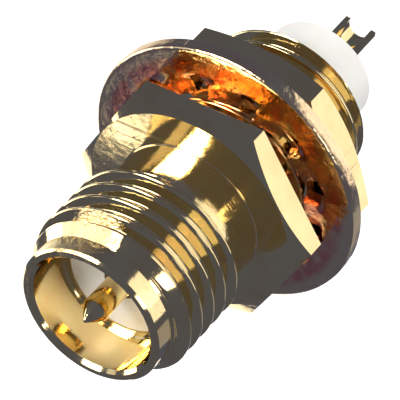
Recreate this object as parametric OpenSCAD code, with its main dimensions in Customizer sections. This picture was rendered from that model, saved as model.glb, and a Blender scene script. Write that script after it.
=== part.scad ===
// Bulkhead coaxial jack with a pin contact: a turned body, its insulator and contact, and the
// lock washer and hexagonal nut that clamp it to a panel.
// The common axis runs along Y, with the mating end towards -Y and the solder end towards +Y.
// The origin is the centre of the flange's rear face, which bears on the panel. All sizes in mm.

/* [Mating end] */
// Diameter of the plain nose in front of the mating thread
nose_d = 5.4; // [5.2:0.05:5.6]
// Length of the plain nose
nose_len = 0.75; // [0.5:0.05:1.5]
// Bevel round the outer edge of the nose
nose_bevel = 0.08; // [0.04:0.01:0.12]
// Major diameter of the mating thread
thread_d = 6.35; // [6.2:0.05:7]
// Length of the mating thread, with its lead-in and its run-out
thread_len = 3.6; // [2.8:0.1:6]
// Length of the slope where the mating thread runs out into the neck
run_out = 0.25; // [0.1:0.05:0.5]
// Diameter of the polished neck behind the mating thread
neck_d = 5.4; // [5:0.05:5.8]
// Length of the neck
neck_len = 1.65; // [1:0.05:3]
// Diameter of the socket
socket_d = 4.6; // [4.4:0.05:4.8]
// Depth of the socket, from the nose to the insulator's face
socket_depth = 1.85; // [1.5:0.05:2.5]
// Bevel inside the socket's mouth
mouth_bevel = 0.12; // [0.05:0.01:0.15]

/* [Flange] */
// Distance across the flange's flats
flange_af = 8; // [7.8:0.1:9.5]
// Thickness of the flange
flange_thick = 1.05; // [0.8:0.05:2]
// Diameter of the flat circle on the flange's front face
flange_face_d = 7.9; // [7.2:0.05:7.9]

/* [Panel thread] */
// Major diameter of the panel thread
panel_thread_d = 6.35; // [6.2:0.05:7]
// Length of the panel thread behind the flange
panel_thread_len = 5.55; // [5.2:0.05:9]
// Bevel at the end of the panel thread
thread_end_bevel = 0.3; // [0.1:0.05:0.45]
// Width of the groove between the flange and the panel thread
relief_width = 0.4; // [0.2:0.05:0.8]
// Depth of that groove
relief_depth = 0.42; // [0.2:0.02:0.5]

/* [Insulator] */
// Diameter of the insulator
insulator_d = 4.1; // [3.8:0.05:4.3]
// Length of insulator that stands out behind the body
insulator_reach = 2; // [0.5:0.1:4]
// Bevel round both ends of the insulator
insulator_bevel = 0.1; // [0.05:0.01:0.2]

/* [Contact] */
// Diameter of the contact's mating pin
pin_d = 0.92; // [0.85:0.01:1.1]
// How far the pin's tip stands out in front of the nose
pin_proud = 0.27; // [0:0.01:0.5]
// Length of the pin's tapered tip
tip_len = 0.6; // [0.3:0.05:0.8]
// Diameter of the blunt end of the tip
tip_end_d = 0.12; // [0.05:0.01:0.3]
// Distance from the socket's floor to the barbed collar inside the insulator
collar_setback = 4.2; // [2:0.1:6]
// Diameter of the barbed collar
collar_d = 1.9; // [1.6:0.05:2.4]
// Length of the barbed collar
collar_len = 1.1; // [0.6:0.1:2]
// Diameter of the contact from the insulator's face back
shank_d = 1.27; // [1.2:0.01:1.5]

/* [Solder cup] */
// Length of contact that stands out behind the insulator
cup_reach = 2.75; // [2.3:0.05:5]
// Bore of the solder cup
cup_bore_d = 0.9; // [0.7:0.01:1]
// Depth of the cup's bore, without its drill point
cup_bore_depth = 2.1; // [1.7:0.05:2.2]
// Length over which one side of the cup is cut away
cup_open_len = 1.6; // [0.8:0.05:1.65]
// Height of the cup's lips above the axis
lip_rise = 0.13; // [0:0.01:0.25]
// Turn of the cup's open side from straight up
cup_turn = 10; // [-180:5:180]

/* [Lock washer] */
// Outer diameter of the lock washer
washer_d = 10.4; // [9.8:0.1:12]
// Thickness of the washer's sheet
washer_thick = 0.5; // [0.3:0.05:0.8]
// Radius left by the shears on the washer's front edge
shear_round = 0.14; // [0.05:0.01:0.2]
// Diameter at which the washer's teeth begin
tooth_root_d = 8.1; // [7.7:0.1:8.8]
// Number of teeth
tooth_count = 12; // [8:1:14]
// Width of each tooth
tooth_width = 1.15; // [0.8:0.05:1.3]
// Twist of each tooth out of the sheet
tooth_twist = 14; // [5:1:20]

/* [Nut] */
// Distance across the nut's flats
nut_af = 8.2; // [7.9:0.1:9.5]
// Thickness of the nut
nut_thick = 1.65; // [1.4:0.05:2.5]
// Diameter of the flat circle on each face of the nut
nut_face_d = 8; // [7.5:0.05:8]
// Bevel at both ends of the nut's bore
nut_bore_bevel = 0.25; // [0.1:0.05:0.4]
// Turn of the nut's flats against the flange's
nut_turn = 6; // [-30:1:30]

/* [Fits] */
// Distance from the flange to the washer's sheet, as far as the nut has been run down
panel_gap = 1.1; // [0.8:0.05:1.2]
// Radial clearance between the panel thread and the nut
nut_clearance = 0.05; // [0.02:0.01:0.1]
// Radial clearance between the panel thread and the washer's teeth
tooth_clearance = 0.12; // [0.05:0.01:0.2]
// Space between the washer's twisted teeth and the nut
tooth_touch = 0.02; // [0.01:0.01:0.05]
// Radial gap round the insulator and round the contact
press_gap = 0.01; // [0.005:0.005:0.02]

/* [Hidden] */

$fn = 96;
// Amount by which cutting tools run past the faces that they cut
past = 0.5;
hex_bevel_angle = 30;
drill_point_angle = 118;
// Points on each quarter-round edge
round_steps = 5;
gold = "goldenrod";

// Stations along the axis, counted from the flange's rear face
flange_front = -flange_thick;
neck_front = flange_front - neck_len;
thread_front = neck_front - thread_len;
nose_front = thread_front - nose_len;
socket_floor = nose_front + socket_depth;
body_rear = panel_thread_len;
insulator_rear = body_rear + insulator_reach;
cup_rear = insulator_rear + cup_reach;
tip_front = nose_front - pin_proud;
collar_front = socket_floor + collar_setback;
collar_rear = collar_front + collar_len;
insulator_bore_r = insulator_d / 2 + press_gap;
lead_in = (thread_d - nose_d) / 2;

// The washer's sheet starts one panel gap behind the flange, and the nut's face clears the teeth
washer_front = panel_gap;
washer_rear = washer_front + washer_thick;
tooth_half_height = (tooth_width * sin(tooth_twist) + washer_thick * cos(tooth_twist)) / 2;
tooth_stand_out = tooth_half_height - washer_thick / 2;
nut_front = washer_rear + tooth_stand_out + tooth_touch;

// Draws its children, made along Z, along the connector's axis from a station on it
module on_axis(station = 0) {
    rotate([-90, 0, 0]) translate([0, 0, station]) children();
}

// A solid of revolution from a list of [radius, station] points
module turned(points) {
    rotate_extrude() polygon(points);
}

// Points of a quarter round that starts at an angle, about a centre
function quarter_round(centre, r, start) =
    [for (i = [0 : round_steps]) centre + r * [cos(start + 90 * i / round_steps),
                                               sin(start + 90 * i / round_steps)]];

// A hexagonal blank, bevelled down to a flat circle in front and, if asked, behind
module hex_blank(across_flats, thick, face_d, bevel_rear) {
    corner_r = across_flats / sqrt(3);
    face_r = face_d / 2;
    reach_r = corner_r + past;
    slope = (reach_r - face_r) * tan(hex_bevel_angle);
    rear = bevel_rear ? [[reach_r, thick - slope], [face_r, thick]] : [[reach_r, thick]];
    intersection() {
        cylinder(h = thick, r = corner_r, $fn = 6);
        turned(concat([[0, 0], [face_r, 0], [reach_r, slope]], rear, [[0, thick]]));
    }
}

// Outside of the turned body, without its flange
module body_blank() {
    nose_r = nose_d / 2;
    thread_r = thread_d / 2;
    neck_r = neck_d / 2;
    panel_r = panel_thread_d / 2;
    relief_r = panel_r - relief_depth;
    turned([
        [0, nose_front],
        [nose_r - nose_bevel, nose_front],
        [nose_r, nose_front + nose_bevel],
        [nose_r, thread_front],
        [thread_r, thread_front + lead_in],
        [thread_r, neck_front - run_out],
        [neck_r, neck_front],
        [neck_r, flange_front + flange_thick / 2],
        [relief_r, flange_front + flange_thick / 2],
        [relief_r, relief_width],
        [panel_r, relief_width + relief_depth],
        [panel_r, body_rear - thread_end_bevel],
        [panel_r - thread_end_bevel, body_rear],
        [0, body_rear]
    ]);
}

// Everything that is bored out of the body: the socket's mouth, the socket and the insulator's seat
module body_bore() {
    socket_r = socket_d / 2;
    turned([
        [0, nose_front - past],
        [socket_r + mouth_bevel + past, nose_front - past],
        [socket_r, nose_front + mouth_bevel],
        [socket_r, socket_floor],
        [insulator_bore_r, socket_floor],
        [insulator_bore_r, body_rear + past],
        [0, body_rear + past]
    ]);
}

module connector_body() {
    color(gold) on_axis() difference() {
        union() {
            body_blank();
            translate([0, 0, flange_front])
                hex_blank(flange_af, flange_thick, flange_face_d, false);
        }
        body_bore();
    }
}

// Outside of the contact, grown all round by a gap where it is used to bore the insulator.
// Its shoulder is flush with the insulator's face, so that only the thinner pin stands in the socket.
module contact_blank(gap) {
    pin_r = pin_d / 2 + gap;
    collar_r = collar_d / 2 + gap;
    shank_r = shank_d / 2 + gap;
    turned([
        [0, tip_front],
        [tip_end_d / 2, tip_front],
        [pin_r, tip_front + tip_len],
        [pin_r, socket_floor - gap],
        [shank_r, socket_floor - gap],
        [collar_r, collar_rear - (collar_r - shank_r) / 2],
        [collar_r, collar_rear + gap],
        [shank_r, collar_rear + gap],
        [shank_r, cup_rear],
        [0, cup_rear]
    ]);
}

module insulator() {
    outer_r = insulator_d / 2;
    color("ivory") on_axis() difference() {
        turned([
            [0, socket_floor],
            [outer_r - insulator_bevel, socket_floor],
            [outer_r, socket_floor + insulator_bevel],
            [outer_r, insulator_rear - insulator_bevel],
            [outer_r - insulator_bevel, insulator_rear],
            [0, insulator_rear]
        ]);
        contact_blank(press_gap);
    }
}

// The cup's drilled bore and the cut that opens one side of it
module cup_cutter() {
    bore_r = cup_bore_d / 2;
    bore_floor = cup_rear - cup_bore_depth;
    drill_tip = bore_r / tan(drill_point_angle / 2);
    turned([
        [0, bore_floor - drill_tip],
        [bore_r, bore_floor],
        [bore_r, cup_rear + past],
        [0, cup_rear + past]
    ]);
    rotate([0, 0, cup_turn])
        translate([-shank_d, -lip_rise - shank_d, cup_rear - cup_open_len])
            cube([2 * shank_d, shank_d, cup_open_len + past]);
}

module center_contact() {
    color(gold) on_axis() difference() {
        contact_blank(0);
        cup_cutter();
    }
}

// One tooth, twisted about its own radial line and rooted a little way into the ring
module washer_tooth(inner_r, root_r) {
    root_bite = washer_thick / 2;
    translate([inner_r, 0, washer_thick / 2]) rotate([tooth_twist, 0, 0])
        translate([0, -tooth_width / 2, -washer_thick / 2])
            cube([root_r + root_bite - inner_r, tooth_width, washer_thick]);
}

module lock_washer() {
    outer_r = washer_d / 2;
    root_r = tooth_root_d / 2;
    tooth_tip_r = panel_thread_d / 2 + tooth_clearance;
    color(gold) on_axis(washer_front) {
        turned(concat(
            [[root_r, 0]],
            quarter_round([outer_r - shear_round, shear_round], shear_round, -90),
            [[outer_r, washer_thick], [root_r, washer_thick]]
        ));
        for (i = [0 : tooth_count - 1])
            rotate([0, 0, 360 * i / tooth_count]) washer_tooth(tooth_tip_r, root_r);
    }
}

module hex_nut() {
    bore_r = panel_thread_d / 2 + nut_clearance;
    mouth_r = bore_r + nut_bore_bevel;
    color(gold) on_axis(nut_front) rotate([0, 0, nut_turn]) difference() {
        hex_blank(nut_af, nut_thick, nut_face_d, true);
        turned([
            [0, -past],
            [mouth_r + past, -past],
            [bore_r, nut_bore_bevel],
            [bore_r, nut_thick - nut_bore_bevel],
            [mouth_r + past, nut_thick + past],
            [0, nut_thick + past]
        ]);
    }
}

connector_body();
insulator();
center_contact();
lock_washer();
hex_nut();
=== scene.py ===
# %% [markdown]
# # A gold-plated bulkhead jack
# This lesson dresses a small coaxial jack for its portrait. The real jack is a turned brass body
# with a thread at each end, a white insulator and a thin contact inside it, and a toothed lock
# washer and a nut that clamp it in a panel. The construction model is loaded first and never
# moved. Every piece made here takes its place from it, so nothing has to be fitted afterwards.

import math
from functools import partial

import bmesh
import bpy
from mathutils import Matrix, Vector


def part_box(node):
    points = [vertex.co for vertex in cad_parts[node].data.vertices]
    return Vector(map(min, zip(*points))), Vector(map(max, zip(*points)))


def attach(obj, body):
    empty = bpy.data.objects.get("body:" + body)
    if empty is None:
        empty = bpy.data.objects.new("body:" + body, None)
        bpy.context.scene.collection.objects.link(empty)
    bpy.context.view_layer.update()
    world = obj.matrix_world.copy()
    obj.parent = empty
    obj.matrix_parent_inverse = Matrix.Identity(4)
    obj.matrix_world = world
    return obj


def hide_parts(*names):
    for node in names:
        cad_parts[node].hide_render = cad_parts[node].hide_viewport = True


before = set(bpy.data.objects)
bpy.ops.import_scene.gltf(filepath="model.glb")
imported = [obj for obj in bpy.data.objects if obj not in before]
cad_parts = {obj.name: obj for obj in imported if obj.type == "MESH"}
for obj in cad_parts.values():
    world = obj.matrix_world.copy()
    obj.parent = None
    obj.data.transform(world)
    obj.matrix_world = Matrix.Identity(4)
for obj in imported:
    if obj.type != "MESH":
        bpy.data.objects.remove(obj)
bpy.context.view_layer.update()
MM = 0.001

# %% [markdown]
# ## The camera
# A small shiny part is best seen from afar through a long lens, because its round faces then stay
# round. The camera stands in front of the mating end, a little to the right and well above.
# It is turned towards a point beside the axis, which centres the part without any lens shift.

# %% Camera
VIEW_AZIMUTH = math.radians(31.92)
VIEW_ELEVATION = math.radians(42.69)
VIEW_DISTANCE = 120.05 * MM
LENS = 315
AXIS_POINT = Vector((0, 1.85 * MM, 0))
OFF_CENTRE = (1.165 * MM, 1.335 * MM)

towards_camera = Vector((
    math.sin(VIEW_AZIMUTH) * math.cos(VIEW_ELEVATION),
    -math.cos(VIEW_AZIMUTH) * math.cos(VIEW_ELEVATION),
    math.sin(VIEW_ELEVATION),
))
turned_to_camera = towards_camera.to_track_quat("Z", "Y")
image_right = turned_to_camera @ Vector((1, 0, 0))
image_up = turned_to_camera @ Vector((0, 1, 0))

camera_data = bpy.data.cameras.new("portrait_camera")
camera_data.lens = LENS
camera_data.clip_start = 10 * MM
camera_data.clip_end = 10
camera = bpy.data.objects.new("portrait_camera", camera_data)
bpy.context.scene.collection.objects.link(camera)
camera.location = AXIS_POINT + towards_camera * VIEW_DISTANCE
looked_at = AXIS_POINT - image_right * OFF_CENTRE[0] - image_up * OFF_CENTRE[1]
camera.rotation_mode = "QUATERNION"
camera.rotation_quaternion = (camera.location - looked_at).to_track_quat("Z", "Y")
bpy.context.scene.camera = camera
bpy.context.scene.view_settings.view_transform = "Standard"
print("The camera looks at", [round(c / MM, 2) for c in looked_at], "mm")

# %% [markdown]
# ## Turned shapes
# Nearly every face of the jack was made on a lathe, so one helper makes them all. A row is a ring
# of points round the Y axis, with a radius and a station along the axis, and faces join each row
# to the next. A radius or a station may also be a function of the angle, which is how a hexagon
# fits into the same rows. The alternative, a Screw modifier on a drawn outline, can't do that.

# %% Rows of points round the axis
AROUND = 180


def at(value, angle):
    """A row's radius or station at an angle, whether it is a number or a function."""
    return value(angle) if callable(value) else value


def add_row(mesh, radius, station):
    """A ring of points, or a single point where the radius is 0."""
    if radius == 0:
        return [mesh.verts.new((0, station, 0))]
    angles = [2 * math.pi * step / AROUND for step in range(AROUND)]
    return [
        mesh.verts.new((at(radius, a) * math.sin(a), at(station, a), at(radius, a) * math.cos(a)))
        for a in angles
    ]


def join_rows(mesh, one, other):
    """Faces between two neighbouring rows, as a fan where one of them is a single point."""
    for step in range(AROUND):
        following = (step + 1) % AROUND
        if len(one) == 1:
            corners = (one[0], other[following], other[step])
        elif len(other) == 1:
            corners = (one[step], one[following], other[0])
        else:
            corners = (one[step], one[following], other[following], other[step])
        mesh.faces.new(corners)


def turn_rows(rows, closed):
    """A mesh through rows of (radius, station), from the first to the last and back if closed."""
    mesh = bmesh.new()
    rings = [add_row(mesh, radius, station) for radius, station in rows]
    for one, other in zip(rings, rings[1:] + rings[:1] if closed else rings[1:]):
        join_rows(mesh, one, other)
    return mesh


HOLD = 1.4
ROUND_STEPS = 4


def rounded(before, corner, after, size):
    """Rows that round a corner between two others, with a row beyond each end of the arc.

    The rows beyond, at HOLD times the size, keep the shading of the flat stretches flat.
    """
    corner = Vector(corner)
    back = (Vector(before) - corner).normalized() * size
    ahead = (Vector(after) - corner).normalized() * size
    arc = [corner + back * HOLD]
    for step in range(ROUND_STEPS + 1):
        angle = step * math.pi / 2 / ROUND_STEPS
        arc.append(corner + back * (1 - math.sin(angle)) + ahead * (1 - math.cos(angle)))
    arc.append(corner + ahead * HOLD)
    return [tuple(point) for point in arc]


print("A row has", AROUND, "points, one every", 360 / AROUND, "degrees")

# %% [markdown]
# ## Finished pieces
# Every mesh leaves its bmesh through one door. Near points are merged, edges between faces that
# meet at an angle are made sharp, the piece is told which body it rides on, and the construction
# node that it stands for is hidden. Flat shading would show the facets of the round faces, and
# smooth shading alone would bend the light across the real edges.

# %% Creases and finishing
SHARP_ANGLE = math.radians(24)
THREAD_SHARP_ANGLE = math.radians(50)
MERGE_DISTANCE = 0.0004 * MM
SLIVER = 0.0002 * MM


def crease(mesh):
    """Smooth faces, with a crease where two meet at an angle. Threads bend more without one."""
    bmesh.ops.recalc_face_normals(mesh, faces=mesh.faces)
    threaded = mesh.faces.layers.int.get("threaded")
    for face in mesh.faces:
        face.smooth = True
    for edge in mesh.edges:
        in_thread = threaded and all(face[threaded] for face in edge.link_faces)
        limit = THREAD_SHARP_ANGLE if in_thread else SHARP_ANGLE
        edge.smooth = len(edge.link_faces) != 2 or edge.calc_face_angle(0) < limit


def open_edges(data):
    """How many edges don't lie between exactly two faces. A closed mesh has none."""
    uses = [0] * len(data.edges)
    for loop in data.loops:
        uses[loop.edge_index] += 1
    return sum(1 for count in uses if count != 2)


def finish_mesh(name, mesh, material, body, node):
    """Turns a bmesh into a piece that rides on a body and stands for a construction node."""
    bmesh.ops.remove_doubles(mesh, verts=mesh.verts, dist=MERGE_DISTANCE)
    bmesh.ops.dissolve_degenerate(mesh, edges=mesh.edges, dist=SLIVER)
    crease(mesh)
    data = bpy.data.meshes.new(name)
    mesh.to_mesh(data)
    mesh.free()
    piece = bpy.data.objects.new(name, data)
    bpy.context.scene.collection.objects.link(piece)
    data.materials.append(material)
    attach(piece, body)
    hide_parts(node)
    print(f"{name}: {len(data.polygons)} faces, {open_edges(data)} open edges")
    return piece


print("Points nearer than", MERGE_DISTANCE / MM, "mm are merged")

# %% [markdown]
# ## Gold
# The plating is a thin mirror over turned brass. Its colour comes from the metal itself, so the
# base colour is the gold's own reflectance and the metallic value is 1. What makes it look real
# is in the reflections: the lathe leaves fine rings across the gold, handling leaves scratches,
# pits and a rubbed patch, and the plating is never even. All the metal pieces share these marks,
# so one node group puts out their height and a mask, and the shaders stay in the materials. Noise
# on object coordinates needs no unwrapping and no image, so it stays sharp at any distance.

# %% Helpers for node trees


def add_node(tree, kind, **settings):
    """A new node, with its own settings such as operation or data_type."""
    node = tree.nodes.new(kind)
    for name, value in settings.items():
        setattr(node, name, value)
    return node


def math_node(tree, operation, *values):
    """A Math node whose inputs are numbers or other nodes' outputs. Returns its output."""
    node = add_node(tree, "ShaderNodeMath", operation=operation)
    for socket, value in zip(node.inputs, values):
        if isinstance(value, bpy.types.NodeSocket):
            tree.links.new(value, socket)
        else:
            socket.default_value = value
    return node.outputs[0]


def new_group(name, inputs, outputs):
    """A node group with float inputs {name: default} and float outputs."""
    group = bpy.data.node_groups.new(name, "ShaderNodeTree")
    for title, value in inputs.items():
        socket = group.interface.new_socket(title, in_out="INPUT", socket_type="NodeSocketFloat")
        socket.default_value = value
    for title in outputs:
        group.interface.new_socket(title, in_out="OUTPUT", socket_type="NodeSocketFloat")
    return group, add_node(group, "NodeGroupInput"), add_node(group, "NodeGroupOutput")


def stretched_noise(group, place, scale, turn, detail):
    """A Noise texture on coordinates that are scaled and turned first. Returns its value."""
    mapping = add_node(group, "ShaderNodeMapping")
    mapping.inputs["Scale"].default_value = scale
    mapping.inputs["Rotation"].default_value = turn
    group.links.new(place, mapping.inputs["Vector"])
    noise = add_node(group, "ShaderNodeTexNoise")
    noise.inputs["Scale"].default_value = 1
    noise.inputs["Detail"].default_value = detail
    group.links.new(mapping.outputs[0], noise.inputs["Vector"])
    return noise.outputs["Fac"]


def ramp(group, value, low, high):
    """0 below low, 1 above high and a straight slope between. Low may be above high."""
    node = add_node(group, "ShaderNodeMapRange")
    group.links.new(value, node.inputs["Value"])
    node.inputs["From Min"].default_value = low
    node.inputs["From Max"].default_value = high
    return node.outputs[0]


def cloud_noise(tree, place, scale, detail):
    """The value of a plain Noise texture, which drifts slowly over a piece."""
    cloud = add_node(tree, "ShaderNodeTexNoise")
    cloud.inputs["Scale"].default_value = scale
    cloud.inputs["Detail"].default_value = detail
    tree.links.new(place, cloud.inputs["Vector"])
    return cloud.outputs["Fac"]


def two_shades(tree, pale, deep, factor):
    """The output of a Mix node that goes from the pale colour to the deep one."""
    shade = add_node(tree, "ShaderNodeMix", data_type="RGBA")
    shade.inputs["A"].default_value = (*pale, 1)
    shade.inputs["B"].default_value = (*deep, 1)
    tree.links.new(factor, shade.inputs["Factor"])
    return shade.outputs["Result"]


def add_relief(tree, height, distance):
    """A Bump node between a height and the material's Principled shader."""
    relief = add_node(tree, "ShaderNodeBump")
    relief.inputs["Distance"].default_value = distance
    tree.links.new(height, relief.inputs["Height"])
    tree.links.new(relief.outputs["Normal"], tree.nodes["Principled BSDF"].inputs["Normal"])


# %% A node group for machining marks
RING_SCALE = (12000, 12000, 0)
SCRATCH_SCALES = ((7000, 220, 7000), (260, 6000, 6000))
SCRATCH_TURNS = ((0.3, 0.9, 0.5), (0.8, 0.2, 1.1))
PIT_SCALE = 2400
RUB_GRAIN_SCALE = (9000, 9000, 9000)
RUB_CENTRE = (-0.6 * MM, -6.1 * MM, 2.8 * MM)
RUB_REACH = 1.3 * MM
RUB_CORE = 0.7 * MM
RUB_HEIGHT = 30
UNTURNED = (0, 0, 0)


def machining_group():
    """Height of lathe rings, scratches, pits and a rubbed patch, and a mask of the marks."""
    group, given, result = new_group(
        "machining_marks",
        {"Ring Strength": 1, "Scratch Strength": 1, "Pit Strength": 1, "Rub Strength": 0},
        ["Height", "Marks"],
    )
    calc = partial(math_node, group)
    link = group.links.new
    strength = given.outputs
    place = add_node(group, "ShaderNodeTexCoord").outputs["Object"]
    split = add_node(group, "ShaderNodeSeparateXYZ")
    link(place, split.inputs[0])
    away = calc("POWER", calc("ADD", calc("MULTIPLY", split.outputs["X"], split.outputs["X"]),
                              calc("MULTIPLY", split.outputs["Z"], split.outputs["Z"])), 0.5)
    lathe_place = add_node(group, "ShaderNodeCombineXYZ")
    link(split.outputs["Y"], lathe_place.inputs["Y"])
    link(away, lathe_place.inputs["X"])
    rings = stretched_noise(group, lathe_place.outputs[0], RING_SCALE, UNTURNED, 3)
    height = calc("MULTIPLY", rings, strength["Ring Strength"])
    # Noise that is stretched one way and cut off high up leaves thin separate streaks
    one_way, other_way = [
        ramp(group, stretched_noise(group, place, scale, turn, 1), 0.70, 0.78)
        for scale, turn in zip(SCRATCH_SCALES, SCRATCH_TURNS)
    ]
    scratches = calc("MULTIPLY", calc("MAXIMUM", one_way, other_way), strength["Scratch Strength"])
    # A pit is the middle of a Voronoi cell, and the cell's random colour chooses one in five
    cells = add_node(group, "ShaderNodeTexVoronoi")
    cells.inputs["Scale"].default_value = PIT_SCALE
    link(place, cells.inputs["Vector"])
    chosen = add_node(group, "ShaderNodeSeparateColor")
    link(cells.outputs["Color"], chosen.inputs[0])
    pits = calc("MULTIPLY", ramp(group, cells.outputs["Distance"], 0.16, 0.06),
                ramp(group, chosen.outputs[0], 0.78, 0.8))
    pits = calc("MULTIPLY", pits, strength["Pit Strength"])
    # The rubbed patch lies on the lead-in, where a plug's nut first touches
    reach = add_node(group, "ShaderNodeVectorMath", operation="DISTANCE")
    link(place, reach.inputs[0])
    reach.inputs[1].default_value = RUB_CENTRE
    grain = stretched_noise(group, place, RUB_GRAIN_SCALE, UNTURNED, 4)
    rub = calc("MULTIPLY", ramp(group, reach.outputs["Value"], RUB_REACH, RUB_CORE),
               calc("SUBTRACT", grain, 0.5))
    rub = calc("MULTIPLY", rub, strength["Rub Strength"])
    height = calc("ADD", height, calc("MULTIPLY", rub, RUB_HEIGHT))
    marks = calc("MAXIMUM", scratches, pits)
    link(calc("SUBTRACT", height, marks), result.inputs["Height"])
    link(marks, result.inputs["Marks"])
    return group


machining = machining_group()
print("Machining marks use", len(machining.nodes), "nodes")

# %% Gold materials
CLOUD_SCALE = 900
RIPPLE_SCALE = (2500, 2500, 2500)
MARK_DULLNESS = 0.2


def gold_material(name, pale, deep, roughness, bump, grain, **marks_given):
    """Gold plating: two shades of the metal, with machining marks in its bump and roughness."""
    material = bpy.data.materials.new(name)
    material.use_nodes = True
    tree = material.node_tree
    link = tree.links.new
    shader = tree.nodes["Principled BSDF"]
    shader.inputs["Metallic"].default_value = 1
    place = add_node(tree, "ShaderNodeTexCoord").outputs["Object"]
    cloud = cloud_noise(tree, place, CLOUD_SCALE, 4)
    colour = two_shades(tree, pale, deep, ramp(tree, cloud, 0.35, 0.65))
    link(colour, shader.inputs["Base Color"])
    marks = add_node(tree, "ShaderNodeGroup", node_tree=machining)
    for title, value in marks_given.items():
        marks.inputs[title.replace("_", " ").title()].default_value = value
    dull = math_node(tree, "MULTIPLY_ADD", cloud, roughness, roughness * 0.5)
    dull = math_node(tree, "MULTIPLY_ADD", marks.outputs["Marks"], MARK_DULLNESS, dull)
    link(dull, shader.inputs["Roughness"])
    ripple = stretched_noise(tree, place, RIPPLE_SCALE, UNTURNED, 5)
    add_relief(tree, math_node(tree, "MULTIPLY_ADD", ripple, grain, marks.outputs["Height"]), bump)
    return material


PALE_GOLD = (1.0, 0.80, 0.39)
DEEP_GOLD = (0.97, 0.71, 0.33)
STAMPED_PALE = (1.0, 0.77, 0.42)
STAMPED_DEEP = (0.97, 0.66, 0.38)
TURNED_BUMP = 0.003 * MM
STAMPED_BUMP = 0.008 * MM
body_gold = gold_material("body_gold", PALE_GOLD, DEEP_GOLD, roughness=0.08, bump=TURNED_BUMP,
                          grain=1.5, ring_strength=0.3, scratch_strength=0.3, pit_strength=0.6,
                          rub_strength=1)
nut_gold = gold_material("nut_gold", PALE_GOLD, DEEP_GOLD, roughness=0.10, bump=TURNED_BUMP,
                         grain=2, ring_strength=0.2, scratch_strength=0.5, pit_strength=0.6)
contact_gold = gold_material("contact_gold", PALE_GOLD, DEEP_GOLD, roughness=0.10,
                             bump=TURNED_BUMP, grain=2, ring_strength=0.4, scratch_strength=0.2,
                             pit_strength=0.2)
washer_gold = gold_material("washer_gold", STAMPED_PALE, STAMPED_DEEP, roughness=0.16,
                            bump=STAMPED_BUMP, grain=5, ring_strength=0.1, scratch_strength=0.5,
                            pit_strength=1)
print("The body's gold goes from", PALE_GOLD, "to", DEEP_GOLD)

# %% [markdown]
# ## Copper under the gold
# The washer is cheap sheet with a thin plating, and inside its rim a redder metal shows in patches.
# A second noise, which is switched off beyond a radius, mixes that colour over the gold. Painting
# the patches by hand would give more control, but a rule needs no image and no unwrapping.

# %% Copper patches on the washer
COPPER = (0.92, 0.36, 0.24)
COPPER_RADIUS = 4.85 * MM
COPPER_FADE = 0.25 * MM
PATCH_SCALE = (1400, 1400, 1400)
PATCH_TURN = (3, 1, 2)


def show_copper(material):
    """Lets patches of copper show inside a radius round the axis."""
    tree = material.node_tree
    link = tree.links.new
    shader = tree.nodes["Principled BSDF"]
    place = add_node(tree, "ShaderNodeTexCoord").outputs["Object"]
    flat = add_node(tree, "ShaderNodeVectorMath", operation="MULTIPLY")
    flat.inputs[1].default_value = (1, 0, 1)
    link(place, flat.inputs[0])
    away = add_node(tree, "ShaderNodeVectorMath", operation="LENGTH")
    link(flat.outputs[0], away.inputs[0])
    inside = ramp(tree, away.outputs["Value"], COPPER_RADIUS, COPPER_RADIUS - COPPER_FADE)
    patches = stretched_noise(tree, place, PATCH_SCALE, PATCH_TURN, 3)
    bare = math_node(tree, "MULTIPLY", inside, ramp(tree, patches, 0.35, 0.6))
    plated = shader.inputs["Base Color"].links[0].from_socket
    blend = add_node(tree, "ShaderNodeMix", data_type="RGBA")
    link(bare, blend.inputs["Factor"])
    link(plated, blend.inputs["A"])
    blend.inputs["B"].default_value = (*COPPER, 1)
    link(blend.outputs["Result"], shader.inputs["Base Color"])


show_copper(washer_gold)
print("Copper shows within", round(COPPER_RADIUS / MM, 2), "mm of the axis")

# %% [markdown]
# ## White fluoropolymer
# The insulator is a waxy plastic. Light enters it, spreads and comes out again a little way off,
# which is what the subsurface setting does. Plain white paint would look hard beside the gold.

# %% Insulator material
PALE_PLASTIC = (0.90, 0.89, 0.85)
DEEP_PLASTIC = (0.80, 0.78, 0.72)
PLASTIC_CLOUD_SCALE = 700
LIGHT_SPREAD = 0.6 * MM
PLASTIC_BUMP = 0.01 * MM


def insulator_material():
    """White fluoropolymer: waxy, softly shining, with a few scratches."""
    material = bpy.data.materials.new("white_fluoropolymer")
    material.use_nodes = True
    tree = material.node_tree
    shader = tree.nodes["Principled BSDF"]
    shader.inputs["Roughness"].default_value = 0.38
    shader.inputs["Subsurface Weight"].default_value = 0.25
    shader.inputs["Subsurface Scale"].default_value = LIGHT_SPREAD
    place = add_node(tree, "ShaderNodeTexCoord").outputs["Object"]
    cloud = cloud_noise(tree, place, PLASTIC_CLOUD_SCALE, 5)
    colour = two_shades(tree, PALE_PLASTIC, DEEP_PLASTIC, cloud)
    tree.links.new(colour, shader.inputs["Base Color"])
    marks = add_node(tree, "ShaderNodeGroup", node_tree=machining)
    marks.inputs["Scratch Strength"].default_value = 0.2
    marks.inputs["Pit Strength"].default_value = 0.3
    add_relief(tree, marks.outputs["Height"], PLASTIC_BUMP)
    return material


white_plastic = insulator_material()
print("Light spreads", LIGHT_SPREAD / MM, "mm inside the plastic")

# %% [markdown]
# ## Cutting a thread
# A thread is a groove that climbs one pitch in each turn. A displaced cylinder would need a very
# fine mesh and would still show steps along the crests. Here the mesh lines follow the helix
# instead, so that each crest and root is a clean line. Geometry Nodes does it with one grid: the
# grid's columns go round the axis and its rows climb with the helix. Past each end of the threaded
# stretch the points are held at that end, where they fall together and are merged. The blank's own
# outline, with its lead-in bevels, limits the radius as it does when a real thread is cut.

# %% Helpers for Geometry Nodes


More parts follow.
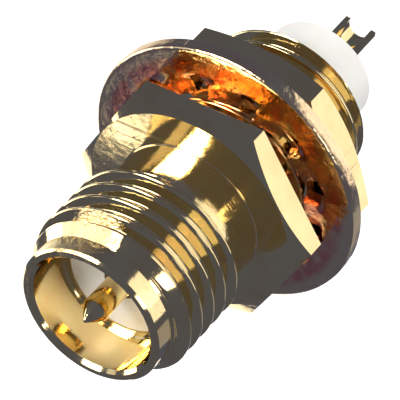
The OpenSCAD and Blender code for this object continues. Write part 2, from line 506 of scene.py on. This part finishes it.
def new_tree(name, lengths, whole):
    """A Geometry Nodes tree with float inputs, one whole number and a material named Finish."""
    tree = bpy.data.node_groups.new(name, "GeometryNodeTree")
    sockets = [("Geometry", "Geometry"), *((title, "Float") for title in lengths),
               (whole, "Int"), ("Finish", "Material")]
    for title, kind in sockets:
        tree.interface.new_socket(title, in_out="INPUT", socket_type="NodeSocket" + kind)
    tree.interface.new_socket("Geometry", in_out="OUTPUT", socket_type="NodeSocketGeometry")
    return tree, add_node(tree, "NodeGroupInput").outputs


def end_tree(tree, geometry, given):
    """Realizes the geometry, merges what meets, sets the material and puts it out."""
    merge = add_node(tree, "GeometryNodeMergeByDistance")
    merge.inputs["Distance"].default_value = MERGE_DISTANCE
    finish = add_node(tree, "GeometryNodeSetMaterial")
    tree.links.new(given["Finish"], finish.inputs["Material"])
    for node in (add_node(tree, "GeometryNodeRealizeInstances"), merge, finish,
                 add_node(tree, "NodeGroupOutput")):
        tree.links.new(geometry, node.inputs[0])
        geometry = node.outputs[0] if node.outputs else None


def run_tree(tree, values):
    """The mesh that a geometry node tree makes with these named input values."""
    holder = bpy.data.objects.new("tree_holder", bpy.data.meshes.new("tree_holder"))
    bpy.context.scene.collection.objects.link(holder)
    modifier = holder.modifiers.new("tree", "NODES")
    modifier.node_group = tree
    for item in tree.interface.items_tree:
        if item.in_out == "INPUT" and item.name in values:
            modifier[item.identifier] = values[item.name]
    depsgraph = bpy.context.evaluated_depsgraph_get()
    made = bpy.data.meshes.new_from_object(holder.evaluated_get(depsgraph))
    holder.modifiers.remove(modifier)
    bpy.data.objects.remove(holder)
    return made


# %% The thread cutter's node tree
ROWS_PER_PITCH = 40
# Where the 60 degree groove begins and ends, in pitches from the middle of the crest
GROOVE_START = 1 / 16
GROOVE_END = 6 / 16
# Copies of the groove, shifted by rows, whose weighted average has rounded corners
ROUNDING = ((-1, 0.2), (0, 0.6), (1, 0.2))


def thread_tree():
    """One threaded stretch, made from a grid that climbs with the helix."""
    tree, given = new_tree("thread_cutter", (
        "Major Radius", "Depth", "Pitch", "From", "To", "Crest Station", "Start Radius",
        "Start Slope", "End Radius", "End Slope", "Side"), "Around")
    pitch = given["Pitch"]
    side = given["Side"]
    crest = given["Crest Station"]
    calc = partial(math_node, tree)
    link = tree.links.new
    # The lowest row starts a whole pitch below the stretch, in step with the crests
    turns_before = calc("FLOOR", calc("DIVIDE", calc("SUBTRACT", given["From"], crest), pitch))
    base = calc("ADD", crest, calc("MULTIPLY", calc("SUBTRACT", turns_before, 1), pitch))
    pitches = calc("CEIL", calc("DIVIDE", calc("SUBTRACT", given["To"], base), pitch))
    columns = calc("ADD", given["Around"], 1)
    grid = add_node(tree, "GeometryNodeMeshGrid")
    link(calc("ADD", calc("MULTIPLY", pitches, ROWS_PER_PITCH), 1), grid.inputs["Vertices X"])
    link(columns, grid.inputs["Vertices Y"])

    index = add_node(tree, "GeometryNodeInputIndex").outputs[0]
    row = calc("FLOOR", calc("DIVIDE", calc("ADD", index, 0.5), columns))
    column = calc("SUBTRACT", index, calc("MULTIPLY", row, columns))
    turn = calc("DIVIDE", column, given["Around"])
    climb = calc("ADD", calc("DIVIDE", row, ROWS_PER_PITCH), turn)
    station = calc("MULTIPLY_ADD", climb, pitch, base)
    station = calc("MINIMUM", calc("MAXIMUM", station, given["From"]), given["To"])

    # Distance from the nearest crest, in pitches: 0 on a crest and 0.5 in a root
    # The 100 keeps the number above 0, and the half puts the crest in the middle of the phase
    phase = calc("FRACT", calc("ADD", 100.5, calc(
        "SUBTRACT", calc("DIVIDE", calc("SUBTRACT", station, crest), pitch), turn)))
    from_crest = calc("ABSOLUTE", calc("SUBTRACT", phase, 0.5))
    shares = [
        calc("MULTIPLY", ramp(tree, calc("ADD", from_crest, shift / ROWS_PER_PITCH),
                              GROOVE_START, GROOVE_END), weight)
        for shift, weight in ROUNDING
    ]
    depth_share = calc("ADD", calc("ADD", shares[0], shares[1]), shares[2])
    cut = calc("SUBTRACT", given["Major Radius"], calc("MULTIPLY", depth_share, given["Depth"]))
    # Side is 1 outside a rod and -1 inside a bore, where the blank limits from the other side
    start = calc("MULTIPLY_ADD", calc("SUBTRACT", station, given["From"]),
                 calc("MULTIPLY", given["Start Slope"], side), given["Start Radius"])
    end = calc("MULTIPLY_ADD", calc("SUBTRACT", given["To"], station),
               calc("MULTIPLY", given["End Slope"], side), given["End Radius"])
    radius = calc("MINIMUM", calc("MULTIPLY", cut, side), calc("MULTIPLY", start, side))
    radius = calc("MULTIPLY", calc("MINIMUM", radius, calc("MULTIPLY", end, side)), side)

    angle = calc("MULTIPLY", turn, 2 * math.pi)
    place = add_node(tree, "ShaderNodeCombineXYZ")
    link(calc("MULTIPLY", radius, calc("SINE", angle)), place.inputs["X"])
    link(station, place.inputs["Y"])
    link(calc("MULTIPLY", radius, calc("COSINE", angle)), place.inputs["Z"])
    move = add_node(tree, "GeometryNodeSetPosition")
    link(grid.outputs["Mesh"], move.inputs["Geometry"])
    link(place.outputs[0], move.inputs["Position"])
    end_tree(tree, move.outputs[0], given)
    return tree


thread_cutter = thread_tree()
print("The thread cutter has", len(thread_cutter.nodes), "nodes")

# %% Add a thread to a mesh


def add_thread(mesh, finish, **values):
    """Adds a threaded stretch to a bmesh, with no creases along its rounded crests."""
    titled = {title.replace("_", " ").title(): value for title, value in values.items()}
    sleeve = run_tree(thread_cutter, {"Around": AROUND, "Finish": finish, **titled})
    threaded = sleeve.attributes.new("threaded", "INT", "FACE")
    for mark in threaded.data:
        mark.value = 1
    mesh.from_mesh(sleeve)
    print("A thread of", len(sleeve.polygons), "faces, over",
          round((values["to"] - values["from"]) / MM, 2), "mm")


# %% [markdown]
# ## The body
# The body was turned from one bar: a nose, the mating thread, a polished neck, a hexagonal flange
# and the long panel thread, all bored through for the insulator. It is made in the same order.
# Rows give the plain faces, the thread cutter gives the two threads, and both are merged along
# their shared rings into one closed shell.

# %% Body sizes
body_low, body_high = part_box("connector_body")
NOSE_FRONT = body_low.y
NOSE_RADIUS = 2.7 * MM
NOSE_END = NOSE_FRONT + 0.75 * MM
NOSE_BEVEL = 0.08 * MM
THREAD_RADIUS = 3.175 * MM
PITCH = 25.4 * MM / 36
THREAD_DEPTH = 0.5413 * PITCH
THREAD_END = NOSE_END + 3.6 * MM
RUN_OUT = 0.25 * MM
RUN_OUT_RADIUS = NOSE_RADIUS + 0.06 * MM
RUN_OUT_EASE = 0.7 * MM
FLANGE_FRONT = -1.05 * MM
HALF_FLATS = body_high.z
FLANGE_FACE = 3.95 * MM
BEVEL_SLOPE = math.tan(math.radians(30))
RELIEF_RADIUS = 2.755 * MM
RELIEF_END = 0.4 * MM
PANEL_END = body_high.y
PANEL_END_RADIUS = 2.875 * MM
BORE_RADIUS = 2.06 * MM
SOCKET_RADIUS = 2.3 * MM
SOCKET_FLOOR = NOSE_FRONT + 1.85 * MM
SOCKET_BEVEL = 0.12 * MM
NECK_FILLET = 0.05 * MM
EDGE = 0.035 * MM
# Where a crest of both threads passes straight above the axis
CREST_STATION = NOSE_FRONT + 1.70 * MM + PITCH * 25 / 360


def hexagon(half_flats):
    """The radius of a hexagon with flats at +Z and -Z, as a function of the angle from +Z."""

    def radius(angle):
        from_flat = (math.degrees(angle) + 30) % 60 - 30
        return half_flats / math.cos(math.radians(from_flat))
    return radius


def bevel_station(radius, face_radius, face, direction):
    """Where a 30 degree bevel cone meets the hexagon, as a function of the angle."""
    return lambda angle: face + direction * (radius(angle) - face_radius) * BEVEL_SLOPE


print("The body runs from", round(NOSE_FRONT / MM, 2), "to", round(PANEL_END / MM, 2), "mm")

# %% Rows of the body
flange = hexagon(HALF_FLATS)
flange_rear = hexagon(HALF_FLATS - EDGE)
front_rows = [
    (BORE_RADIUS, PANEL_END),
    (BORE_RADIUS, SOCKET_FLOOR),
    (SOCKET_RADIUS - EDGE, SOCKET_FLOOR),
    (SOCKET_RADIUS, SOCKET_FLOOR - EDGE),
    (SOCKET_RADIUS, NOSE_FRONT + SOCKET_BEVEL),
    (SOCKET_RADIUS + SOCKET_BEVEL, NOSE_FRONT),
    (NOSE_RADIUS - NOSE_BEVEL, NOSE_FRONT),
    (NOSE_RADIUS, NOSE_FRONT + NOSE_BEVEL),
    (NOSE_RADIUS, NOSE_END),
]
middle_rows = [
    (RUN_OUT_RADIUS, THREAD_END),
    (NOSE_RADIUS, THREAD_END + RUN_OUT_EASE),
    *rounded((NOSE_RADIUS, THREAD_END), (NOSE_RADIUS, FLANGE_FRONT), (FLANGE_FACE, FLANGE_FRONT),
             NECK_FILLET),
    (FLANGE_FACE, FLANGE_FRONT),
    (flange, bevel_station(flange, FLANGE_FACE, FLANGE_FRONT, 1)),
    (flange, -EDGE),
    (flange_rear, 0),
    (RELIEF_RADIUS, 0),
    (RELIEF_RADIUS, RELIEF_END),
]
print("The plain faces take", len(front_rows) + len(middle_rows), "rows")

# %% Build the body
body_mesh = turn_rows(front_rows, closed=False)
middle_mesh = turn_rows(middle_rows, closed=False)
middle_data = bpy.data.meshes.new("middle")
middle_mesh.to_mesh(middle_data)
middle_mesh.free()
body_mesh.from_mesh(middle_data)
add_thread(body_mesh, body_gold, major_radius=THREAD_RADIUS, depth=THREAD_DEPTH, pitch=PITCH,
           crest_station=CREST_STATION, start_radius=NOSE_RADIUS, start_slope=1,
           end_radius=RUN_OUT_RADIUS, end_slope=(THREAD_RADIUS - RUN_OUT_RADIUS) / RUN_OUT, side=1,
           **{"from": NOSE_END, "to": THREAD_END})
add_thread(body_mesh, body_gold, major_radius=THREAD_RADIUS, depth=THREAD_DEPTH, pitch=PITCH,
           crest_station=CREST_STATION, start_radius=RELIEF_RADIUS, start_slope=1,
           end_radius=PANEL_END_RADIUS, end_slope=1, side=1,
           **{"from": RELIEF_END, "to": PANEL_END})


def close_end(mesh, station, inner_radius):
    """Joins the thread's last ring, which its groove makes uneven, to the bore's ring."""
    near = 0.0005 * MM
    ring = {}
    for vert in mesh.verts:
        if abs(vert.co.y - station) < near:
            angle = math.atan2(vert.co.x, vert.co.z) % (2 * math.pi)
            step = round(angle * AROUND / (2 * math.pi)) % AROUND
            inner = abs(math.hypot(vert.co.x, vert.co.z) - inner_radius) < near
            ring[(step, inner)] = vert
    for step in range(AROUND):
        following = (step + 1) % AROUND
        mesh.faces.new((ring[step, True], ring[following, True], ring[following, False],
                        ring[step, False]))


bmesh.ops.remove_doubles(body_mesh, verts=body_mesh.verts, dist=MERGE_DISTANCE)
close_end(body_mesh, PANEL_END, BORE_RADIUS)
finish_mesh("jack_body", body_mesh, body_gold, "jack", "connector_body")

# %% [markdown]
# ## Insulator and contact
# The insulator is a rod of white fluoropolymer with a bore for the contact. The contact is turned
# too: a pin with a tapered tip, a barbed collar that holds it in the insulator, and a drilled cup
# at the back with one side milled away, into which a wire is soldered. Rows make both, and a
# Boolean modifier mills the cup, as a cutter would.

# %% Insulator
plug_low, plug_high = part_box("insulator")
pin_low, pin_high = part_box("center_contact")
PIN_RADIUS = 0.46 * MM
SHANK_RADIUS = 0.635 * MM
COLLAR_RADIUS = 0.95 * MM
COLLAR_FRONT = SOCKET_FLOOR + 4.2 * MM
COLLAR_REAR = COLLAR_FRONT + 1.1 * MM
COLLAR_TAPER = (COLLAR_RADIUS - SHANK_RADIUS) / 2
FIT = 0.01 * MM
PLUG_RADIUS = plug_high.z
PLUG_BEVEL = 0.1 * MM
# An arc's middle point lies this share of its radius in from either side
ARC_MIDDLE = 0.3
insulator_rows = [
    (SHANK_RADIUS + FIT, plug_low.y),
    (PLUG_RADIUS - PLUG_BEVEL, plug_low.y),
    (PLUG_RADIUS - ARC_MIDDLE * PLUG_BEVEL, plug_low.y + ARC_MIDDLE * PLUG_BEVEL),
    (PLUG_RADIUS, plug_low.y + PLUG_BEVEL),
    (PLUG_RADIUS, plug_high.y - PLUG_BEVEL),
    (PLUG_RADIUS - ARC_MIDDLE * PLUG_BEVEL, plug_high.y - ARC_MIDDLE * PLUG_BEVEL),
    (PLUG_RADIUS - PLUG_BEVEL, plug_high.y),
    (SHANK_RADIUS + FIT, plug_high.y),
    (SHANK_RADIUS + FIT, COLLAR_REAR + FIT),
    (COLLAR_RADIUS + FIT, COLLAR_REAR + FIT),
    (COLLAR_RADIUS + FIT, COLLAR_REAR - COLLAR_TAPER),
    (SHANK_RADIUS + FIT, COLLAR_FRONT - FIT),
]
insulator_mesh = turn_rows(insulator_rows, closed=True)
finish_mesh("insulator_plug", insulator_mesh, white_plastic, "jack", "insulator")

# %% Contact
TIP_LENGTH = 0.6 * MM
TIP_RADIUS = 0.06 * MM
CUP_BORE = 0.45 * MM
CUP_FLOOR = pin_high.y - 2.1 * MM
DRILL_TIP_ANGLE = math.radians(118)
DRILL_POINT = CUP_BORE / math.tan(DRILL_TIP_ANGLE / 2)
LIP = 0.012 * MM
contact_rows = [
    (0, pin_low.y),
    (TIP_RADIUS, pin_low.y),
    (PIN_RADIUS - 0.5 * EDGE, pin_low.y + TIP_LENGTH - EDGE),
    (PIN_RADIUS, pin_low.y + TIP_LENGTH + 0.5 * EDGE),
    (PIN_RADIUS, SOCKET_FLOOR),
    (SHANK_RADIUS, SOCKET_FLOOR),
    (SHANK_RADIUS, COLLAR_FRONT),
    (COLLAR_RADIUS, COLLAR_REAR - COLLAR_TAPER),
    (COLLAR_RADIUS, COLLAR_REAR),
    (SHANK_RADIUS, COLLAR_REAR),
    (SHANK_RADIUS, pin_high.y - LIP),
    (SHANK_RADIUS - LIP, pin_high.y),
    (CUP_BORE + LIP, pin_high.y),
    (CUP_BORE, pin_high.y - LIP),
    (CUP_BORE, CUP_FLOOR),
    (0, CUP_FLOOR - DRILL_POINT),
]
contact_mesh = turn_rows(contact_rows, closed=False)
contact = finish_mesh("pin_contact", contact_mesh, contact_gold, "jack", "center_contact")

# %% Mill the cup's side away
CUP_OPEN = 1.6 * MM
LIP_RISE = 0.13 * MM
CUP_TURN = math.radians(10)
BEYOND = 0.5 * MM
cutter_mesh = bmesh.new()
bmesh.ops.create_cube(cutter_mesh, size=1)
bmesh.ops.scale(cutter_mesh, verts=cutter_mesh.verts,
                vec=(4 * SHANK_RADIUS, CUP_OPEN + BEYOND, 2 * SHANK_RADIUS))
bmesh.ops.translate(cutter_mesh, verts=cutter_mesh.verts, vec=(
    0, pin_high.y - CUP_OPEN + (CUP_OPEN + BEYOND) / 2, LIP_RISE + SHANK_RADIUS))
bmesh.ops.rotate(cutter_mesh, verts=cutter_mesh.verts, cent=(0, 0, 0),
                 matrix=Matrix.Rotation(CUP_TURN, 3, "Y"))
cutter_data = bpy.data.meshes.new("cup_cutter")
cutter_mesh.to_mesh(cutter_data)
cutter_mesh.free()
cutter = bpy.data.objects.new("cup_cutter", cutter_data)
bpy.context.scene.collection.objects.link(cutter)
milling = contact.modifiers.new("milling", "BOOLEAN")
milling.operation = "DIFFERENCE"
milling.solver = "EXACT"
milling.object = cutter
milled = bpy.data.meshes.new_from_object(
    contact.evaluated_get(bpy.context.evaluated_depsgraph_get()))
contact.modifiers.remove(milling)
bpy.data.objects.remove(cutter)
contact.data = milled
contact_mesh = bmesh.new()
contact_mesh.from_mesh(milled)
crease(contact_mesh)
contact_mesh.to_mesh(milled)
contact_mesh.free()
print("The milled contact has", len(milled.polygons), "faces and",
      open_edges(milled), "open edges")

# %% [markdown]
# ## Nut
# The nut is a hexagon bevelled on both faces, with a thread in its bore that meshes with the panel
# thread. The same cutter makes it, on the inner side. The nut stands turned by six degrees, so it
# is built square, with its helix turned back by as much, and then turned as a whole.

# %% Build the nut
nut_low, nut_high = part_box("hex_nut")
NUT_HALF_FLATS = 4.1 * MM
NUT_FACE = 4.0 * MM
NUT_TURN = math.radians(6)
CLEARANCE = 0.05 * MM
MOUTH_BEVEL = 0.25 * MM
MOUTH_RADIUS = THREAD_RADIUS + CLEARANCE + MOUTH_BEVEL
nut_hexagon = hexagon(NUT_HALF_FLATS)
nut_rows = [
    (MOUTH_RADIUS, nut_low.y),
    (NUT_FACE, nut_low.y),
    (nut_hexagon, bevel_station(nut_hexagon, NUT_FACE, nut_low.y, 1)),
    (nut_hexagon, bevel_station(nut_hexagon, NUT_FACE, nut_high.y, -1)),
    (NUT_FACE, nut_high.y),
    (MOUTH_RADIUS, nut_high.y),
]
nut_mesh = turn_rows(nut_rows, closed=False)
add_thread(nut_mesh, nut_gold, major_radius=THREAD_RADIUS + CLEARANCE, depth=THREAD_DEPTH,
           pitch=PITCH, crest_station=CREST_STATION + PITCH * NUT_TURN / (2 * math.pi),
           start_radius=MOUTH_RADIUS, start_slope=1, end_radius=MOUTH_RADIUS, end_slope=1, side=-1,
           **{"from": nut_low.y, "to": nut_high.y})
bmesh.ops.rotate(nut_mesh, verts=nut_mesh.verts, cent=(0, 0, 0),
                 matrix=Matrix.Rotation(NUT_TURN, 3, "Y"))
finish_mesh("panel_nut", nut_mesh, nut_gold, "nut", "hex_nut")

# %% [markdown]
# ## Lock washer
# The washer was stamped from sheet and its teeth were twisted out of the plane, so that they bite
# into the panel and the nut. One tooth with its share of the ring is a rule that repeats twelve
# times, which suits Geometry Nodes: a finely divided block is bent into one sector, copied round
# the axis and merged into a closed ring.

# %% The washer's node tree
BLOCK_CUTS = (("Vertices X", 13), ("Vertices Y", 31), ("Vertices Z", 4))
RING_END = 1 / 3
NEAR_WALL = 0.4999
BEYOND_TOOTH = 0.001


def smooth_step(tree, value, start, end):
    """0 before start, 1 after end and a soft slope between."""
    node = add_node(tree, "ShaderNodeMapRange", interpolation_type="SMOOTHSTEP")
    tree.links.new(value, node.inputs["Value"])
    for title, limit in (("From Min", start), ("From Max", end)):
        if isinstance(limit, bpy.types.NodeSocket):
            tree.links.new(limit, node.inputs[title])
        else:
            node.inputs[title].default_value = limit
    return node.outputs[0]


def washer_tree():
    """One block bent into a sector with its tooth, and copied round the axis."""
    tree, given = new_tree("toothed_washer", (
        "Tip Radius", "Root Radius", "Outer Radius", "Front", "Thickness", "Tooth Width", "Twist",
        "Edge Round", "Root Fillet"), "Teeth")
    calc = partial(math_node, tree)
    link = tree.links.new
    block = add_node(tree, "GeometryNodeMeshCube")
    block.inputs["Size"].default_value = (1, 1, 1)
    for title, count in BLOCK_CUTS:
        block.inputs[title].default_value = count
    split = add_node(tree, "ShaderNodeSeparateXYZ")
    link(add_node(tree, "GeometryNodeInputPosition").outputs[0], split.inputs[0])
    across, along, through = split.outputs
    # Along the block: the tooth and its fillet, then the ring, then the rounded rim
    shoulder = calc("ADD", given["Root Radius"], given["Root Fillet"])
    rim = calc("SUBTRACT", given["Outer Radius"], given["Edge Round"])
    radius = given["Tip Radius"]
    for low, high, start, end in ((-0.5, 0, given["Tip Radius"], shoulder),
                                  (0, RING_END, shoulder, rim),
                                  (RING_END, 0.5, rim, given["Outer Radius"])):
        grown = calc("MULTIPLY", ramp(tree, along, low, high), calc("SUBTRACT", end, start))
        radius = calc("ADD", radius, grown)
    half_sector = calc("DIVIDE", math.pi, given["Teeth"])
    narrow = calc("DIVIDE", calc("MULTIPLY", given["Tooth Width"], 0.5), radius)
    blend = smooth_step(tree, radius, calc("SUBTRACT", given["Root Radius"], given["Root Fillet"]),
                        shoulder)
    half_angle = calc("ADD", narrow, calc("MULTIPLY", blend, calc("SUBTRACT", half_sector, narrow)))
    angle = calc("MULTIPLY", calc("MULTIPLY", across, 2), half_angle)
    # The front edge of the rim is a quarter round
    inward = calc("MAXIMUM", calc("SUBTRACT", radius, rim), 0)
    rise = calc("SUBTRACT", calc("MULTIPLY", given["Edge Round"], given["Edge Round"]),
                calc("MULTIPLY", inward, inward))
    drop = calc("SUBTRACT", given["Edge Round"], calc("SQRT", calc("MAXIMUM", rise, 0)))
    depth = calc("MULTIPLY", calc("ADD", through, 0.5), given["Thickness"])
    depth = calc("ADD", depth, calc("MULTIPLY", drop, calc("SUBTRACT", 0.5, through)))
    # The twist turns the section about the tooth's own radial line
    twist_end = calc("SUBTRACT", given["Root Radius"], calc("MULTIPLY", given["Root Fillet"], 2))
    straight = smooth_step(tree, radius, twist_end, shoulder)
    twist = calc("MULTIPLY", given["Twist"], calc("SUBTRACT", 1, straight))
    middle = calc("MULTIPLY", given["Thickness"], 0.5)
    off_middle = calc("SUBTRACT", depth, middle)
    sideways = calc("MULTIPLY", radius, angle)
    turned_side = calc("SUBTRACT", calc("MULTIPLY", sideways, calc("COSINE", twist)),
                       calc("MULTIPLY", off_middle, calc("SINE", twist)))
    turned_depth = calc("ADD", calc("MULTIPLY", sideways, calc("SINE", twist)),
                        calc("MULTIPLY", off_middle, calc("COSINE", twist)))
    turned_angle = calc("DIVIDE", turned_side, radius)
    place = add_node(tree, "ShaderNodeCombineXYZ")
    link(calc("MULTIPLY", radius, calc("SINE", turned_angle)), place.inputs["X"])
    link(calc("ADD", given["Front"], calc("ADD", middle, turned_depth)), place.inputs["Y"])
    link(calc("MULTIPLY", radius, calc("COSINE", turned_angle)), place.inputs["Z"])
    # Walls between neighbouring sectors go, so that the copies merge into one shell
    on_wall = calc("GREATER_THAN", calc("ABSOLUTE", across), NEAR_WALL)
    in_ring = calc("GREATER_THAN", along, BEYOND_TOOTH)
    open_walls = add_node(tree, "GeometryNodeDeleteGeometry", domain="FACE")
    link(block.outputs["Mesh"], open_walls.inputs["Geometry"])
    link(calc("MULTIPLY", on_wall, in_ring), open_walls.inputs["Selection"])
    move = add_node(tree, "GeometryNodeSetPosition")
    link(open_walls.outputs[0], move.inputs["Geometry"])
    link(place.outputs[0], move.inputs["Position"])
    points = add_node(tree, "GeometryNodePoints")
    link(given["Teeth"], points.inputs["Count"])
    copies = add_node(tree, "GeometryNodeInstanceOnPoints")
    link(points.outputs[0], copies.inputs["Points"])
    link(move.outputs[0], copies.inputs["Instance"])
    turn = add_node(tree, "ShaderNodeCombineXYZ")
    index = add_node(tree, "GeometryNodeInputIndex").outputs[0]
    link(calc("MULTIPLY", index, calc("MULTIPLY", half_sector, 2)), turn.inputs["Y"])
    link(turn.outputs[0], copies.inputs["Rotation"])
    end_tree(tree, copies.outputs[0], given)
    return tree


toothed_sector = washer_tree()
print("The washer's tree has", len(toothed_sector.nodes), "nodes")

# %% Build the washer
washer_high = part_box("lock_washer")[1]
washer_sheet = run_tree(toothed_sector, {
    "Tip Radius": THREAD_RADIUS + 0.12 * MM, "Root Radius": 4.05 * MM,
    "Outer Radius": washer_high.z, "Front": 1.1 * MM, "Thickness": 0.5 * MM,
    "Tooth Width": 1.15 * MM, "Twist": math.radians(14), "Edge Round": 0.14 * MM,
    "Root Fillet": 0.15 * MM, "Teeth": 12, "Finish": washer_gold,
})
washer_mesh = bmesh.new()
washer_mesh.from_mesh(washer_sheet)
finish_mesh("toothed_washer", washer_mesh, washer_gold, "washer", "lock_washer")

# %% [markdown]
# ## Floor and light
# Polished metal shows its surroundings, so lighting it means arranging what it sees. The floor and
# the world are pale and light the white insulator evenly. The floor glows only for the camera and
# for mirror-like rays, so a white background adds no light to the jack, and it keeps the shadow.

# %% Floor
FLOOR_GLOW = 0.35
FLOOR_SIDE = 6
FLOOR_HEIGHT = -22 * MM


def floor_material():
    """A matt pale surface whose glow the camera, gloss and glass see, and nothing else."""
    material = bpy.data.materials.new("pale_floor")
    material.use_nodes = True
    tree = material.node_tree
    shader = tree.nodes["Principled BSDF"]
    shader.inputs["Base Color"].default_value = (0.9, 0.9, 0.9, 1)
    shader.inputs["Roughness"].default_value = 1
    shader.inputs["Specular IOR Level"].default_value = 0
    shader.inputs["Emission Color"].default_value = (1, 1, 1, 1)
    path = add_node(tree, "ShaderNodeLightPath").outputs
    seen = math_node(tree, "MAXIMUM", path["Is Camera Ray"],
                     math_node(tree, "MAXIMUM", path["Is Glossy Ray"], path["Is Transmission Ray"]))
    tree.links.new(math_node(tree, "MULTIPLY", seen, FLOOR_GLOW),
                   shader.inputs["Emission Strength"])
    return material


bpy.ops.mesh.primitive_plane_add(size=FLOOR_SIDE, location=(0, 0, FLOOR_HEIGHT))
floor = bpy.context.object
floor.name = "studio_floor"
floor.data.materials.append(floor_material())
print("The floor lies", -FLOOR_HEIGHT / MM, "mm below the axis")

# %% World
WORLD_STRENGTH = 0.35
world = bpy.data.worlds.new("pale_room")
world.use_nodes = True
world.node_tree.nodes["Background"].inputs["Color"].default_value = (1, 1, 1, 1)
world.node_tree.nodes["Background"].inputs["Strength"].default_value = WORLD_STRENGTH
bpy.context.scene.world = world
print("The world's strength is", WORLD_STRENGTH)

# %% [markdown]
# ## Soft boxes
# Each bright shape in the gold is the mirror image of a lamp. So a lamp is placed by direction
# from the jack, in degrees to the right of the mating end and degrees up, and its sides are given
# in degrees too. Its radiance is how bright it looks in the mirror, and its power follows from
# that and its size. Lamps placed by power and metres would have to be tried again and again.

# %% Soft boxes
LAMP_DISTANCE = 80 * MM


def direction(right, up):
    """A unit vector from the jack: degrees to the right of the mating end, and degrees up."""
    across, climb = math.radians(right), math.radians(up)
    return Vector((math.sin(across) * math.cos(climb), -math.cos(across) * math.cos(climb),
                   math.sin(climb)))


def soft_box(name, right, up, wide, high, radiance, distance=LAMP_DISTANCE):
    """An area lamp that faces the jack, with its sides given in degrees as the jack sees them."""
    light = bpy.data.lights.new(name, "AREA")
    light.shape = "RECTANGLE"
    light.size = 2 * distance * math.tan(math.radians(wide / 2))
    light.size_y = 2 * distance * math.tan(math.radians(high / 2))
    light.energy = radiance * math.pi * light.size * light.size_y
    lamp = bpy.data.objects.new(name, light)
    bpy.context.scene.collection.objects.link(lamp)
    outward = direction(right, up)
    lamp.location = outward * distance
    lamp.rotation_mode = "QUATERNION"
    lamp.rotation_quaternion = outward.to_track_quat("Z", "Y")
    lamp.visible_camera = False
    return lamp


soft_box("key_box", right=-29, up=39, wide=24, high=25, radiance=14)
soft_box("left_box", right=-74, up=0, wide=22, high=28, radiance=3.5)
# A little farther off, so that the two boxes beside it stand in front
soft_box("left_gap_fill", right=-55, up=21, wide=18, high=16, radiance=0.6, distance=81 * MM)
soft_box("right_rear_box", right=137, up=5, wide=34, high=75, radiance=1.08)
soft_box("right_box", right=112, up=28, wide=22, high=46, radiance=0.7)
# Near, because the floor leaves no room for it farther off
soft_box("right_low_box", right=118, up=-42, wide=50, high=34, radiance=0.22, distance=25 * MM)
soft_box("front_right_lamp", right=40, up=11, wide=12, high=14, radiance=3.5)
# The fill lights the white insulator and has no image in the gold
rear_fill = soft_box("rear_fill", right=150, up=50, wide=60, high=60, radiance=1.6)
rear_fill.visible_glossy = False

# %% [markdown]
# ## Dark tent
# Gold with only white round it looks like butter. Its depth comes from the dark shapes that it
# mirrors, so a dome of dark cloth stands on the floor round the jack, with a gap at the left rear,
# where the pale floor shows. Only reflections see it, so it takes no light from the white
# insulator. The cloth is bluish, because yellow metal turns that into neutral grey. A small white
# card near the floor gives the flange's polished front its one bright patch.

# %% Dark tent
TENT_COLOUR = (0.47, 0.55, 1)
TENT_GLOW = 0.17
TENT_RADIUS = 110 * MM
TENT_DEPTH = -FLOOR_HEIGHT - 1 * MM
TENT_STEP = 5
GAP_RIGHT = -90
GAP_UP = 5


def glowing(name, colour, strength):
    """A black material that gives off its own even light."""
    material = bpy.data.materials.new(name)
    material.use_nodes = True
    shader = material.node_tree.nodes["Principled BSDF"]
    shader.inputs["Base Color"].default_value = (0, 0, 0, 1)
    shader.inputs["Roughness"].default_value = 1
    shader.inputs["Specular IOR Level"].default_value = 0
    shader.inputs["Emission Color"].default_value = (*colour, 1)
    shader.inputs["Emission Strength"].default_value = strength
    return material


def only_in_reflections(thing):
    """Makes a piece of the stage unseen by all but glossy rays."""
    thing.visible_camera = False
    thing.visible_diffuse = False
    thing.visible_shadow = False
    thing.visible_transmission = False


def on_tent(right, up):
    """A point of the tent, which is a dome that stands on the floor."""
    outward = direction(right, up)
    reach = min(TENT_RADIUS, TENT_DEPTH / max(-outward.z, 0.001))
    return outward * reach


tent_mesh = bmesh.new()
for right in range(-180, 180, TENT_STEP):
    for up in range(-90, 90, TENT_STEP):
        if right < GAP_RIGHT and up < GAP_UP:
            continue
        corners = [(right, up), (right + TENT_STEP, up), (right + TENT_STEP, up + TENT_STEP),
                   (right, up + TENT_STEP)]
        tent_mesh.faces.new([tent_mesh.verts.new(on_tent(*corner)) for corner in corners])
tent_data = bpy.data.meshes.new("dark_tent")
tent_mesh.to_mesh(tent_data)
tent_mesh.free()
tent_data.materials.append(glowing("dark_cloth", TENT_COLOUR, TENT_GLOW))
tent = bpy.data.objects.new("dark_tent", tent_data)
bpy.context.scene.collection.objects.link(tent)
only_in_reflections(tent)
print("The tent has", len(tent_data.polygons), "panels")

# %% Small card
CARD_PLACE = (-16.9 * MM, -22.5 * MM, FLOOR_HEIGHT + 1.2 * MM)
CARD_SIDE = 2 * MM
CARD_GLOW = 2.2
bpy.ops.mesh.primitive_plane_add(size=1, location=CARD_PLACE)
card = bpy.context.object
card.name = "small_card"
card.scale = (CARD_SIDE, CARD_SIDE, 1)
card.data.materials.append(glowing("white_card", (1, 1, 1), CARD_GLOW))
only_in_reflections(card)
print("The card is", CARD_SIDE / MM, "mm wide")
